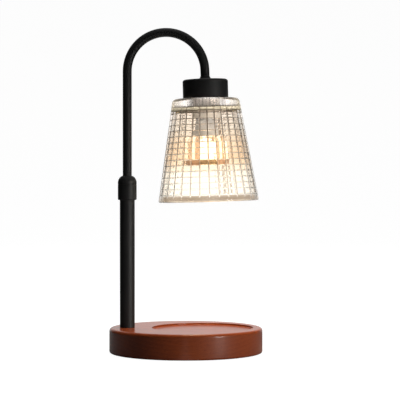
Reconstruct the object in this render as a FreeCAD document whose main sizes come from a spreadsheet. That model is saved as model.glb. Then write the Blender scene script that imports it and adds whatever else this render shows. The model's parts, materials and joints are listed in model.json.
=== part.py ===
"""Candle warmer lamp: a turned wooden base with a shallow candle recess, a
telescopic steel pole locked by a domed collar, a gooseneck arm, and a head with
a GU10 reflector bulb inside a pressed-glass shade.

Frame, in millimetres: origin at the centre of the base on the surface it stands
on, +Z up, +X from the pole towards the head, +Y to the rear where the cord
enters.  The head hangs on an axis of its own, tilted outwards by the little that
the gooseneck is left open; its parts are drawn upright on that axis, from a
reference plane just below the shade's rim (z = 0) to the top of the cap, and
placed by HEAD.
"""
import FreeCAD, Part
import math
import os

import Sketcher  # noqa: F401  the sketch types
import PartDesign  # noqa: F401  the body and feature types
from FreeCAD import Placement, Rotation, Vector

doc = FreeCAD.newDocument("candle_warmer_lamp")

# ------------------------------------------------------------ driving dimensions
DIMENSIONS = [
    # base
    ("base_d", 150.0, "diameter of the turned base"),
    ("wood_z", 0.8, "underside of the wood above the floor"),
    ("wood_t", 24.4, "thickness of the wood"),
    ("edge_top", 3.0, "rounding of the upper edge"),
    ("edge_bot", 2.0, "rounding of the lower edge"),
    ("recess_r", 49.4, "radius of the candle recess"),
    ("recess_t", 2.0, "depth of the candle recess"),
    ("recess_x", 16.3, "recess centre from the base centre"),
    ("rebate_r", 68.0, "radius of the rebate for the cover"),
    ("rebate_t", 2.0, "depth of the rebate"),
    ("cavity_r", 60.0, "radius of the wiring cavity"),
    ("cavity_t", 15.2, "cavity ceiling above the underside of the wood"),
    ("cover_t", 1.8, "thickness of the bottom cover"),
    ("pad_r", 59.0, "radius of the anti-slip pad"),
    ("cover_pcr", 64.0, "pitch radius of the cover screws"),
    ("weight_r", 40.0, "radius of the counterweight"),
    ("weight_t", 8.0, "thickness of the counterweight"),
    ("weight_x", 14.0, "counterweight centre from the base centre"),
    ("weight_px", 26.0, "half the distance between its screws"),
    # cord inlet
    ("gland_z", 10.2, "height of the cord inlet"),
    ("gland_bore", 3.1, "bore radius of the gland"),
    ("gland_r", 4.0, "body radius of the gland"),
    ("gland_fr", 6.8, "flange radius of the gland"),
    ("gland_y", 73.2, "spot face of the gland"),
    # pole
    ("pole_off", 57.4, "pole axis from the base centre"),
    ("pole_d", 14.6, "outer diameter of the pole"),
    ("pole_wall", 1.0, "wall of the pole"),
    ("pole_top", 164.0, "top of the pole tube"),
    ("stud_r", 5.0, "radius of the threaded stud"),
    ("stud_bore", 3.3, "bore of the stud"),
    ("stud_low", 8.0, "lower end of the stud"),
    ("plug_top", 32.0, "top of the plug in the pole"),
    ("cup_top", 45.8, "rim of the cup on the plug, the lower stop of the arm"),
    ("cup_r", 4.9, "radius of the cup, which holds the spare lead"),
    # locking collar
    ("collar_r", 9.2, "radius of the collar"),
    ("collar_z", 150.0, "underside of the collar"),
    ("collar_seam", 165.2, "joint between nut and dome"),
    ("dome_z", 167.0, "where the dome starts to close in"),
    ("dome_rad", 7.5, "radius of the dome's profile"),
    ("dome_top", 173.7, "top of the dome"),
    # arm
    ("arm_d", 8.8, "outer diameter of the arm tube"),
    ("arm_wall", 1.0, "wall of the arm tube"),
    ("arm_low", 88.0, "lower end of the arm tube"),
    ("bend_r", 38.0, "centre-line radius of the gooseneck"),
    ("total_hgt", 318.3, "height over the gooseneck"),
    ("tilt", 1.65, "degrees by which the gooseneck is left open"),
    ("drop", 9.1, "straight from the bend to the cap"),
    ("tail", 8.2, "threaded end of the arm inside the cap"),
    # head, from its reference plane just below the shade's rim
    ("cap_top", 121.1, "top of the cap"),
    ("cap_hgt", 18.6, "height of the cap"),
    ("cap_r", 22.2, "radius of the cap"),
    ("cap_wall", 1.2, "sheet of the cap"),
    ("shade_low", 1.8, "rim of the shade above the reference plane"),
    ("shade_rb", 49.7, "radius of the shade's cone in the reference plane"),
    ("shade_rt", 32.6, "shade radius at the top, before rounding"),
    ("shade_wall", 3.8, "wall of the shade"),
    ("shade_cap", 9.6, "thickness of the closed top of the shade"),
    ("shade_hole", 14.6, "radius of the hole in the shade's top"),
    ("holder_r", 14.0, "radius of the lampholder"),
    ("holder_low", 81.1, "lower face of the lampholder"),
    ("holder_top", 108.4, "upper face of the lampholder"),
    ("pin_pr", 5.0, "pitch radius of the bulb pins"),
    ("twist", 18.0, "bayonet twist in degrees"),
    ("rim_z", 36.5, "front rim of the bulb"),
    ("bulb_r", 21.0, "radius of the bulb"),
    ("neck_z", 66.6, "where the reflector meets the neck of the bulb"),
    ("neck_top", 80.8, "top of the neck of the bulb"),
]

sheet = doc.addObject("Spreadsheet::Sheet", "dims")
for row, (alias, value, words) in enumerate(DIMENSIONS, start=1):
    sheet.set("A%d" % row, words)
    sheet.set("B%d" % row, "%s" % value)
    sheet.setAlias("B%d" % row, alias)
doc.recompute()
VALUE = {alias: value for alias, value, _ in DIMENSIONS}


class Q:
    """A length that knows its value and the spreadsheet expression behind it."""

    def __init__(self, v, e):
        self.v, self.e = float(v), e

    def __add__(self, o):
        o = q(o)
        return Q(self.v + o.v, "(%s + %s)" % (self.e, o.e))

    def __radd__(self, o):
        return q(o) + self

    def __sub__(self, o):
        o = q(o)
        return Q(self.v - o.v, "(%s - %s)" % (self.e, o.e))

    def __rsub__(self, o):
        return q(o) - self

    def __mul__(self, o):
        o = q(o)
        return Q(self.v * o.v, "(%s * %s)" % (self.e, o.e))

    def __rmul__(self, o):
        return q(o) * self

    def __truediv__(self, o):
        o = q(o)
        return Q(self.v / o.v, "(%s / %s)" % (self.e, o.e))

    def __neg__(self):
        return Q(0, "0") - self


def q(x):
    return x if isinstance(x, Q) else Q(x, "%.6f" % x)


def qsin(a):
    return Q(math.sin(math.radians(a.v)), "sin(%s)" % a.e)


def qcos(a):
    return Q(math.cos(math.radians(a.v)), "cos(%s)" % a.e)


class Dims:
    def __getattr__(self, name):
        return Q(VALUE[name], "dims.%s" % name)


D = Dims()
ZERO = q(0.0)

# ------------------------------------------------------------ placements
# the head's own frame: centre of the rim plane, z along the head's axis
bend_z = D.total_hgt - D.arm_d / 2 - D.bend_r
head_x = D.bend_r - D.pole_off + D.bend_r * qcos(D.tilt) + (D.drop + D.cap_top) * qsin(D.tilt)
head_z = bend_z + D.bend_r * qsin(D.tilt) - (D.drop + D.cap_top) * qcos(D.tilt)
HEAD = (head_x, ZERO, head_z)
POLE = (-D.pole_off, ZERO, ZERO)
HOME = (ZERO, ZERO, ZERO)


def put(obj, at, tilt=False):
    """Bind an object's placement to the sheet."""
    if tilt:
        obj.Placement = Placement(
            Vector(at[0].v, at[1].v, at[2].v), Rotation(Vector(0, 1, 0), -D.tilt.v)
        )
        obj.setExpression("Placement.Rotation.Angle", "-dims.tilt")
    else:
        obj.Placement = Placement(Vector(at[0].v, at[1].v, at[2].v), Rotation())
    for axis, value in zip("xyz", at):
        if value.e not in ("0", "0.000000"):
            obj.setExpression("Placement.Base.%s" % axis, value.e)
    return obj


# ------------------------------------------------------------ sketch helpers
def body(name, at=HOME, tilt=False):
    b = doc.addObject("PartDesign::Body", name)
    b.Label = name
    put(b, at, tilt)
    return b


def plane(b, role):
    return next(f for f in b.Origin.OriginFeatures if f.Role == role)


def sketch(b, role, name, offset=None):
    sk = b.newObject("Sketcher::SketchObject", name)
    sk.AttachmentSupport = [(plane(b, role), "")]
    sk.MapMode = "FlatFace"
    if offset is not None:
        sk.AttachmentOffset = Placement(Vector(0, 0, offset.v), Rotation())
        sk.setExpression("AttachmentOffset.Base.z", offset.e)
    return sk


def pin_point(sk, geo, pos, x, y):
    """Fix a point of a sketch by two bound distances from the origin."""
    for kind, value, axis in (("DistanceX", x, -2), ("DistanceY", y, -1)):
        if abs(value.v) < 1e-9:
            sk.addConstraint(Sketcher.Constraint("PointOnObject", geo, pos, axis))
        else:
            i = sk.addConstraint(Sketcher.Constraint(kind, -1, 1, geo, pos, value.v))
            sk.setExpression("Constraints[%d]" % i, value.e)


def outline(sk, points):
    """A closed outline. Each point is (x, y) or (x, y, r): r makes the edge to
    the next point an arc of that radius, turning left if positive."""
    pts = [(q(p[0]), q(p[1]), q(p[2]) if len(p) > 2 else None) for p in points]
    n, ends = len(pts), []
    for i, (x, y, r) in enumerate(pts):
        x2, y2, _ = pts[(i + 1) % n]
        a, b = Vector(x.v, y.v, 0), Vector(x2.v, y2.v, 0)
        if r is None:
            g = sk.addGeometry(Part.LineSegment(a, b), False)
            ends.append((g, 1, 2))
            continue
        chord, rad = b - a, abs(r.v)
        up = Vector(-chord.y, chord.x, 0)
        up.normalize()
        side = 1.0 if r.v > 0 else -1.0
        c = (a + b) * 0.5 + up * side * math.sqrt(rad**2 - (chord.Length / 2) ** 2)
        circle = Part.Circle(c, Vector(0, 0, 1), rad)
        first, last = (a, b) if r.v > 0 else (b, a)
        u = math.atan2(first.y - c.y, first.x - c.x)
        w = math.atan2(last.y - c.y, last.x - c.x)
        if w < u:
            w += 2 * math.pi
        g = sk.addGeometry(Part.ArcOfCircle(circle, u, w), False)
        ends.append((g, 1, 2) if r.v > 0 else (g, 2, 1))
        k = sk.addConstraint(Sketcher.Constraint("Radius", g, rad))
        sk.setExpression("Constraints[%d]" % k, r.e if r.v > 0 else (-r).e)
    for i in range(n):
        g, _, e = ends[i]
        g2, s2, _ = ends[(i + 1) % n]
        sk.addConstraint(Sketcher.Constraint("Coincident", g, e, g2, s2))
    for i, (x, y, _) in enumerate(pts):
        pin_point(sk, ends[i][0], ends[i][1], x, y)


def circle(sk, r, x=ZERO, y=ZERO):
    r, x, y = q(r), q(x), q(y)
    g = sk.addGeometry(Part.Circle(Vector(x.v, y.v, 0), Vector(0, 0, 1), r.v), False)
    k = sk.addConstraint(Sketcher.Constraint("Radius", g, r.v))
    sk.setExpression("Constraints[%d]" % k, r.e)
    pin_point(sk, g, 3, x, y)
    return g


def revolve(b, points, name="turned"):
    """Turn an outline drawn as (radius, height) about the body's z axis."""
    sk = sketch(b, "XZ_Plane", b.Name + "_" + name + "_outline")
    outline(sk, points)
    f = b.newObject("PartDesign::Revolution", b.Name + "_" + name)
    f.Profile = sk
    f.ReferenceAxis = (sk, ["V_Axis"])
    f.Angle = 360.0
    sk.Visibility = False
    doc.recompute()
    return f


def pad(b, draw, length, name, offset=None, role="XY_Plane", back=False):
    sk = sketch(b, role, b.Name + "_" + name + "_sketch", offset)
    draw(sk)
    f = b.newObject("PartDesign::Pad", b.Name + "_" + name)
    f.Profile = sk
    f.Length = q(length).v
    f.setExpression("Length", q(length).e)
    f.Reversed = back
    doc.recompute()
    return f


def pocket(b, draw, length, name, offset=None, role="XY_Plane", back=False):
    """Cut a sketch by length, against its plane's normal unless back is set."""
    before = b.Shape.Volume
    sk = sketch(b, role, b.Name + "_" + name + "_sketch", offset)
    draw(sk)
    f = b.newObject("PartDesign::Pocket", b.Name + "_" + name)
    f.Profile = sk
    f.Length = q(length).v
    f.setExpression("Length", q(length).e)
    f.Reversed = back
    doc.recompute()
    if not f.Shape.Volume < before - 1e-3:
        raise RuntimeError("%s cuts nothing" % f.Name)
    return f


def ring_edges(shape, r, z, tol=0.02):
    """Names of the full circles of radius r at height z about the local z axis."""
    found = []
    for i, e in enumerate(shape.Edges, start=1):
        if isinstance(e.Curve, Part.Circle) and abs(e.Curve.Radius - r) < tol:
            if abs(e.Curve.Center.z - z) < tol and abs(e.Curve.Axis.z) > 0.999:
                found.append("Edge%d" % i)
    return found


def fillet(b, base, edges, radius, name="rounded"):
    if not edges:
        raise RuntimeError("%s: no edge to round" % b.Name)
    f = b.newObject("PartDesign::Fillet", b.Name + "_" + name)
    f.Base = (base, edges)
    f.Radius = q(radius).v
    f.setExpression("Radius", q(radius).e)
    doc.recompute()
    return f


def polar(b, feature, count, name, angle=360.0):
    f = b.newObject("PartDesign::PolarPattern", b.Name + "_" + name)
    f.Originals = [feature]
    f.Axis = (next(o for o in b.Origin.OriginFeatures if o.Role == "Z_Axis"), [""])
    f.Angle = angle
    f.Occurrences = count
    b.Tip = f
    doc.recompute()
    return f


# ------------------------------------------------------------ Part helpers
def bind(obj, **sizes):
    for prop, value in sizes.items():
        value = q(value)
        setattr(obj, prop, value.v)
        obj.setExpression(prop, value.e)
    return obj


def at(obj, x, y, z, rot=None):
    x, y, z = q(x), q(y), q(z)
    obj.Placement = Placement(Vector(x.v, y.v, z.v), rot or Rotation())
    for axis, value in zip("xyz", (x, y, z)):
        obj.setExpression("Placement.Base.%s" % axis, value.e)
    return obj


def cylinder(name, r, h, x=0.0, y=0.0, z=0.0, rot=None):
    return at(bind(doc.addObject("Part::Cylinder", name), Radius=r, Height=h), x, y, z, rot)


def cone(name, r1, r2, h, x=0.0, y=0.0, z=0.0, rot=None):
    return at(
        bind(doc.addObject("Part::Cone", name), Radius1=r1, Radius2=r2, Height=h), x, y, z, rot
    )


def box(name, lx, ly, lz, x, y, z, rot=None):
    """A box centred on x and y, standing on z."""
    lx, ly = q(lx), q(ly)
    b = bind(doc.addObject("Part::Box", name), Length=lx, Width=ly, Height=lz)
    return at(b, q(x) - lx / 2, q(y) - ly / 2, z, rot)


def prism(name, circumradius, h, x, y, z, rot=None):
    p = bind(doc.addObject("Part::Prism", name), Circumradius=circumradius, Height=h)
    p.Polygon = 6
    return at(p, x, y, z, rot)


def fuse(name, *shapes):
    f = doc.addObject("Part::MultiFuse", name)
    f.Shapes = list(shapes)
    return f


def cut(name, base, tool):
    f = doc.addObject("Part::Cut", name)
    f.Base, f.Tool = base, tool
    return f


def group(name, *shapes):
    f = doc.addObject("Part::Compound", name)
    f.Links = list(shapes)
    return f


def cross_screw(name, head_r, head_t, shank_r, shank_t, x, y, z, flat=True):
    """A cross-head screw standing head down at z: countersunk, or pan if not flat."""
    if flat:
        head = cone(name + "_head", head_r, shank_r, head_t, x, y, z)
    else:
        head = cylinder(name + "_head", head_r, head_t, x, y, z)
    shank = cylinder(name + "_shank", shank_r, q(head_t) + shank_t, x, y, z)
    blank = fuse(name + "_blank", head, shank)
    slot_a = box(name + "_slot_a", q(head_r) * 1.1, 0.6, 0.8, x, y, z)
    slot_b = box(name + "_slot_b", 0.6, q(head_r) * 1.1, 0.8, x, y, z)
    return cut(name, blank, fuse(name + "_cross", slot_a, slot_b))


NODES = []


def node(obj, name):
    obj.Label = name
    NODES.append((name, obj))
    return obj


# ================================================================== base
wood_top = D.wood_z + D.wood_t
ceiling = D.wood_z + D.cavity_t

# turned disc: candle recess above, wiring cavity and cover rebate below
b = body("wood_base", (ZERO, ZERO, D.wood_z))
turned = revolve(
    b,
    [
        (D.rebate_r, 0),
        (D.base_d / 2, 0),
        (D.base_d / 2, D.wood_t),
        (0, D.wood_t),
        (0, D.cavity_t),
        (D.cavity_r, D.cavity_t),
        (D.cavity_r, D.rebate_t),
        (D.rebate_r, D.rebate_t),
    ],
)
f = fillet(b, turned, ring_edges(turned.Shape, D.base_d.v / 2, D.wood_t.v), D.edge_top, "upper_edge")
f = fillet(b, f, ring_edges(f.Shape, D.base_d.v / 2, 0), D.edge_bot, "lower_edge")
f = pocket(b, lambda s: circle(s, D.recess_r, D.recess_x), D.recess_t, "recess", D.wood_t)
f = fillet(b, f, ring_edges(f.Shape, D.recess_r.v, D.wood_t.v - D.recess_t.v), 0.9, "recess_foot")
f = fillet(b, f, ring_edges(f.Shape, D.recess_r.v, D.wood_t.v), 0.5, "recess_lip")
pocket(b, lambda s: circle(s, D.stud_r + 0.3, -D.pole_off), D.wood_t, "stud_hole", D.wood_t)
pocket(b, lambda s: circle(s, 9.5, -D.pole_off), D.cavity_t, "nut_pocket", ZERO + 0.0, back=True)
pocket(
    b,
    lambda s: circle(s, D.gland_r + 0.1, ZERO, D.gland_z - D.wood_z),
    D.base_d,
    "gland_hole",
    role="XZ_Plane",
)
pocket(
    b,
    lambda s: circle(s, D.gland_fr + 0.4, ZERO, D.gland_z - D.wood_z),
    5.0,
    "gland_spot",
    -D.gland_y,
    role="XZ_Plane",
)
diag = Q(math.sqrt(0.5), "sqrt(0.5)")
hole = pocket(
    b,
    lambda s: circle(s, 1.1, D.cover_pcr * diag, D.cover_pcr * diag),
    D.rebate_t + 8.2,
    "cover_hole",
    back=True,
)
polar(b, hole, 4, "cover_holes")
pocket(b, lambda s: circle(s, 1.3, D.weight_x - D.weight_px), D.cavity_t + 5.0, "weight_hole_a", back=True)
pocket(b, lambda s: circle(s, 1.3, D.weight_x + D.weight_px), D.cavity_t + 5.0, "weight_hole_b", back=True)
pocket(b, lambda s: circle(s, 1.1, -36.0, 24.0), D.cavity_t + 5.0, "block_hole", back=True)
node(b, "wood_base")

# sheet cover in the rebate, with countersunk holes
cover_z = D.wood_z + D.rebate_t - D.cover_t
b = body("bottom_cover", (ZERO, ZERO, cover_z))
pad(b, lambda s: circle(s, D.rebate_r - 0.4), D.cover_t, "disc")
hole = pocket(
    b,
    lambda s: circle(s, 1.6, D.cover_pcr * diag, D.cover_pcr * diag),
    D.cover_t,
    "screw_hole",
    back=True,
)
polar(b, hole, 4, "screw_holes")
doc.recompute()
sunk = fuse(
    "cover_sinks",
    *[
        cone(
            "cover_sink_%d" % i,
            3.15,
            1.6,
            1.55,
            D.cover_pcr * Q(math.cos(math.radians(45 + 90 * i)), "cos(%d)" % (45 + 90 * i)),
            D.cover_pcr * Q(math.sin(math.radians(45 + 90 * i)), "sin(%d)" % (45 + 90 * i)),
            cover_z,
        )
        for i in range(4)
    ],
)
node(cut("bottom_cover_sunk", b, sunk), "bottom_cover")

# anti-slip pad, bonded to the cover inside the ring of screws
b = body("bottom_pad")
disc = pad(b, lambda s: circle(s, D.pad_r), cover_z, "disc")
fillet(b, disc, ring_edges(disc.Shape, D.pad_r.v, 0), 0.3, "soft_edge")
node(b, "bottom_pad")

screws = []
for i in range(4):
    a = 45 + 90 * i
    cx = D.cover_pcr * Q(math.cos(math.radians(a)), "cos(%d)" % a)
    cy = D.cover_pcr * Q(math.sin(math.radians(a)), "sin(%d)" % a)
    screws.append(cross_screw("cover_screw_%d" % i, 3.0, 1.5, 1.05, 7.0, cx, cy, cover_z))
node(group("cover_screws", *screws), "cover_screws")

# cast counterweight under the ceiling of the cavity
weight_z = ceiling - D.weight_t
b = body("base_weight", (D.weight_x, ZERO, weight_z))
disc = pad(b, lambda s: circle(s, D.weight_r), D.weight_t, "disc")
f = fillet(b, disc, ring_edges(disc.Shape, D.weight_r.v, 0), 1.0, "cast_edge")
pocket(b, lambda s: circle(s, 2.2, -D.weight_px), D.weight_t, "hole_a", back=True)
pocket(b, lambda s: circle(s, 2.2, D.weight_px), D.weight_t, "hole_b", back=True)
node(b, "base_weight")
node(
    group(
        "weight_screws",
        *[
            cross_screw(
                "weight_screw_%d" % i, 3.8, 2.4, 1.25, 12.0, D.weight_x + D.weight_px * s, 0.0, weight_z - 2.4, False
            )
            for i, s in enumerate((-1.0, 1.0))
        ]
    ),
    "weight_screws",
)

# ================================================================== cord inlet
LAY = Rotation(Vector(1, 0, 0), -90)  # stands a primitive along +Y
gland_in = q(55.0)
body_c = cylinder("gland_body", D.gland_r, D.gland_y - gland_in, 0.0, gland_in, D.gland_z, LAY)
flange = cylinder("gland_flange", D.gland_fr, 0.9, 0.0, D.gland_y, D.gland_z, LAY)
lip = cone("gland_lip", D.gland_fr, D.gland_fr - 0.8, 0.8, 0.0, D.gland_y + 0.9, D.gland_z, LAY)
bore_c = cylinder("gland_hole", D.gland_bore, 24.0, 0.0, gland_in - 2.0, D.gland_z, LAY)
node(cut("cord_gland", fuse("gland_blank", body_c, flange, lip), bore_c), "cord_gland")
nut = prism("gland_hex", 6.35, 3.4, 0.0, 56.0, D.gland_z, LAY)
node(
    cut("gland_nut", nut, cylinder("gland_nut_hole", D.gland_r + 0.04, 6.0, 0.0, 55.0, D.gland_z, LAY)),
    "gland_nut",
)

# two-pole terminal block on the ceiling, its clamp screws facing down
block_x, block_y, block_t = -36.0, 24.0, 9.0
blk = box("block_blank", 12.0, 18.0, block_t, block_x, block_y, ceiling - block_t)
holes = [
    cylinder("block_fix_hole", 1.3, 12.0, block_x, block_y, ceiling - 11.0),
    cylinder("block_fix_sink", 2.4, 4.0, block_x, block_y, ceiling - 10.0),
]
clamp_xy = []
for i, dy in enumerate((-5.6, 5.6)):
    holes.append(
        cylinder(
            "block_wire_%d" % i, 1.5, 16.0, block_x - 8.0, block_y + dy, ceiling - 3.6,
            Rotation(Vector(0, 1, 0), 90),
        )
    )
    for k, dx in enumerate((-3.4, 3.4)):
        holes.append(
            cylinder("block_clamp_%d%d" % (i, k), 1.55, 6.0, block_x + dx, block_y + dy, ceiling - 10.0)
        )
        clamp_xy.append((block_x + dx, block_y + dy))
node(cut("terminal_block", blk, fuse("block_holes", *holes)), "terminal_block")
clamps = []
for i, (cx, cy) in enumerate(clamp_xy):
    c = cylinder("clamp_%d_blank" % i, 1.5, 3.4, cx, cy, ceiling - 8.6)
    s = box("clamp_%d_slot" % i, 3.4, 0.5, 0.7, cx, cy, ceiling - 8.6)
    clamps.append(cut("clamp_%d" % i, c, s))
node(group("terminal_screws", *clamps), "terminal_screws")
node(cross_screw("block_screw", 2.2, 1.6, 1.0, 7.0, block_x, block_y, ceiling - 7.6, False), "block_screw")

# ================================================================== pole
pole_in = D.pole_d / 2 - D.pole_wall
b = body("pole_tube", (-D.pole_off, ZERO, wood_top))
tube = revolve(
    b,
    [
        (pole_in, 0),
        (D.pole_d / 2, 0),
        (D.pole_d / 2, D.pole_top - wood_top - 0.3),
        (D.pole_d / 2 - 0.3, D.pole_top - wood_top),
        (pole_in, D.pole_top - wood_top),
    ],
)
node(b, "pole_tube")

# guide key inside the pole, which keeps the bush from turning
node(
    box("pole_key", 1.6, 0.8, 103.6, -D.pole_off, pole_in - 0.08 - 0.4, 46.4),
    "pole_key",
)

# plug with its cup and hollow threaded stud at the foot of the pole; the rim of
# the cup stops the ring at the lower end of the arm
b = body("foot_stud", (-D.pole_off, ZERO, D.stud_low))
shoulder = wood_top - D.stud_low
pitch = q(1.0)
points = [(D.stud_bore, 0), (D.stud_r - 0.5, 0), (D.stud_r, 0.5)]
for i in range(9):  # rolled thread, as rings
    z = 0.9 + 1.0 * i
    points += [(D.stud_r, z), (D.stud_r - 0.35, z + 0.3), (D.stud_r, z + 0.6)]
points += [
    (D.stud_r, shoulder),
    (pole_in - 0.05, shoulder),
    (pole_in - 0.05, D.cup_top - D.stud_low - 0.6),
    (pole_in - 0.65, D.cup_top - D.stud_low),
    (D.cup_r, D.cup_top - D.stud_low),
    (D.cup_r, D.plug_top - D.stud_low),
    (D.stud_bore, D.plug_top - D.stud_low),
]
revolve(b, points)
node(b, "foot_stud")

washer_t, nut_t = 1.2, 5.0
node(
    cut(
        "pole_washer",
        cylinder("pole_washer_disc", 9.0, washer_t, -D.pole_off, 0.0, ceiling - washer_t),
        cylinder("pole_washer_hole", D.stud_r + 0.2, 4.0, -D.pole_off, 0.0, ceiling - 2.0),
    ),
    "pole_washer",
)
node(
    cut(
        "pole_nut",
        prism("pole_nut_hex", 8.08, nut_t, -D.pole_off, 0.0, ceiling - washer_t - nut_t),
        cylinder("pole_nut_hole", D.stud_r + 0.05, 8.0, -D.pole_off, 0.0, ceiling - washer_t - nut_t - 1.0),
    ),
    "pole_nut",
)

# ================================================================== locking collar
arm_r = D.arm_d / 2
# split collet: a sleeve in the pole's mouth with a cone above it
b = body("collar_collet", (-D.pole_off, ZERO, ZERO))
collet_low = 152.0
revolve(
    b,
    [
        (arm_r + 0.08, collet_low),
        (pole_in - 0.1, collet_low),
        (pole_in - 0.1, D.pole_top),
        (7.0, D.pole_top),
        (7.0, D.pole_top + 1.8),
        (5.4, D.pole_top + 6.8),
        (arm_r + 0.08, D.pole_top + 6.8),
    ],
)
pocket(
    b,
    lambda s: outline(s, [(-9.0, -0.5), (-4.0, -0.5), (-4.0, 0.5), (-9.0, 0.5)]),
    24.0,
    "slit",
    q(174.0),
)
node(b, "collar_collet")

# knurl-free nut and the domed cap that closes it, meeting at a fine seam
b = body("collar_nut", (-D.pole_off, ZERO, ZERO))
nut_body = revolve(
    b,
    [
        (D.pole_d / 2 + 0.12, D.collar_z),
        (D.collar_r, D.collar_z),
        (D.collar_r, D.collar_seam - 0.28),
        (D.collar_r - 0.28, D.collar_seam),
        (7.2, D.collar_seam),
        (7.2, D.pole_top + 0.3),
        (D.pole_d / 2 + 0.12, D.pole_top + 0.3),
    ],
)
fillet(b, nut_body, ring_edges(nut_body.Shape, D.collar_r.v, D.collar_z.v), 1.3, "foot")
node(b, "collar_nut")

b = body("collar_dome", (-D.pole_off, ZERO, ZERO))
dome_edge = D.collar_r - D.dome_rad + Q(
    math.sqrt(D.dome_rad.v**2 - (D.dome_top.v - D.dome_z.v) ** 2),
    "sqrt(dims.dome_rad ^ 2 - (dims.dome_top - dims.dome_z) ^ 2)",
)
revolve(
    b,
    [
        (7.2, D.collar_seam),
        (D.collar_r - 0.28, D.collar_seam),
        (D.collar_r, D.collar_seam + 0.28),
        (D.collar_r, D.dome_z, D.dome_rad),
        (dome_edge, D.dome_top),
        (arm_r + 0.2, D.dome_top),
        (arm_r + 0.2, D.pole_top + 7.6),
        (5.6, D.pole_top + 7.0),
        (7.2, D.pole_top + 2.0),
    ],
)
node(b, "collar_dome")

# ================================================================== sliding guide
# bush on the key, between two rings of the arm; its lug limits the swing
bush_low, bush_t = 90.0, 10.0
b = body("guide_bush", (-D.pole_off, ZERO, ZERO))
revolve(
    b,
    [
        (arm_r + 0.1, bush_low),
        (pole_in - 0.15, bush_low),
        (pole_in - 0.15, bush_low + bush_t),
        (arm_r + 0.1, bush_low + bush_t),
    ],
)
pocket(
    b,
    lambda s: outline(s, [(-1.0, 5.15), (1.0, 5.15), (1.0, 7.0), (-1.0, 7.0)]),
    14.0,
    "key_slot",
    q(102.0),
)
LUG = 4.5  # half the width of each lug in degrees


def lug_outline(centre_deg, r1, r2):
    """Ring sector drawn with straight sides, for the stop lugs."""
    a1, a2 = math.radians(centre_deg - LUG), math.radians(centre_deg + LUG)
    return [
        (r1 * math.cos(a1), r1 * math.sin(a1)),
        (r2 * math.cos(a1), r2 * math.sin(a1)),
        (r2 * math.cos(a2), r2 * math.sin(a2)),
        (r1 * math.cos(a2), r1 * math.sin(a2)),
    ]


pad(b, lambda s: outline(s, lug_outline(180.0, 4.75, 5.3)), 1.8, "stop_lug", q(99.8))
node(b, "guide_bush")

# ================================================================== arm
# tube: straight, gooseneck, short drop along the head's axis
def gooseneck(b, foot, end, name):
    """Centre line in the XZ plane from z = foot to the end of the drop."""
    sk = sketch(b, "XZ_Plane", b.Name + "_" + name)
    t, r = D.tilt, D.bend_r
    z0, z1 = q(foot), bend_z
    c = Vector(r.v, z1.v, 0)
    tv = math.radians(t.v)
    p1 = Vector(0, z1.v, 0)
    p2 = Vector(r.v + r.v * math.cos(tv), z1.v + r.v * math.sin(tv), 0)
    p3 = p2 + Vector(math.sin(tv), -math.cos(tv), 0) * q(end).v
    g0 = sk.addGeometry(Part.LineSegment(Vector(0, z0.v, 0), p1), False)
    g1 = sk.addGeometry(Part.ArcOfCircle(Part.Circle(c, Vector(0, 0, 1), r.v), tv, math.pi), False)
    g2 = sk.addGeometry(Part.LineSegment(p2, p3), False)
    pin_point(sk, g0, 1, ZERO, z0)
    pin_point(sk, g0, 2, ZERO, z1)
    sk.addConstraint(Sketcher.Constraint("Coincident", g0, 2, g1, 2))
    pin_point(sk, g1, 3, r, z1)
    sk.addConstraint(Sketcher.Constraint("Coincident", g1, 1, g2, 1))
    k = sk.addConstraint(Sketcher.Constraint("DistanceY", -1, 1, g2, 1, p2.y))
    sk.setExpression("Constraints[%d]" % k, (z1 + r * qsin(t)).e)
    pin_point(sk, g2, 2, r + r * qcos(t) + q(end) * qsin(t), z1 + r * qsin(t) - q(end) * qcos(t))
    return sk


def pipe(b, spine, draw, foot, name="bent"):
    sk = sketch(b, "XY_Plane", b.Name + "_section", q(foot))
    draw(sk)
    doc.recompute()
    f = b.newObject("PartDesign::AdditivePipe", b.Name + "_" + name)
    f.Profile = sk
    f.Spine = (spine, [])
    doc.recompute()
    return f


b = body("arm_tube", (-D.pole_off, ZERO, ZERO))
spine = gooseneck(b, D.arm_low, D.drop + D.tail, "centre_line")


def tube_section(s):
    circle(s, arm_r)
    circle(s, arm_r - D.arm_wall)


pipe(b, spine, tube_section, D.arm_low)
node(b, "arm_tube")

b = body("arm_lead", (-D.pole_off, ZERO, ZERO))
spine = gooseneck(b, D.arm_low, D.drop + D.tail, "centre_line")
pipe(b, spine, lambda s: circle(s, 1.6), D.arm_low)
node(b, "arm_lead")

# rings crimped on the tube above and below the bush
b = body("retaining_ring", (-D.pole_off, ZERO, ZERO))
revolve(b, [(arm_r + 0.02, 88.2), (5.3, 88.2), (5.3, 89.8), (arm_r + 0.02, 89.8)])
node(b, "retaining_ring")
b = body("stop_collar", (-D.pole_off, ZERO, ZERO))
revolve(b, [(arm_r + 0.02, 102.0), (5.3, 102.0), (5.3, 106.0), (arm_r + 0.02, 106.0)])
pad(b, lambda s: outline(s, lug_outline(0.0, 4.6, 5.28)), 2.0, "stop_lug", q(100.2))
node(b, "stop_collar")

# ================================================================== head
# ferrule: the small flared foot of the arm on top of the cap
b = body("neck_ferrule", HEAD, True)
revolve(
    b,
    [
        (arm_r + 0.02, D.cap_top),
        (7.2, D.cap_top),
        (7.2, D.cap_top + 0.4, -3.4),
        (arm_r + 0.3, D.cap_top + 3.0),
        (arm_r + 0.02, D.cap_top + 3.0),
    ],
)
node(b, "neck_ferrule")

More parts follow.
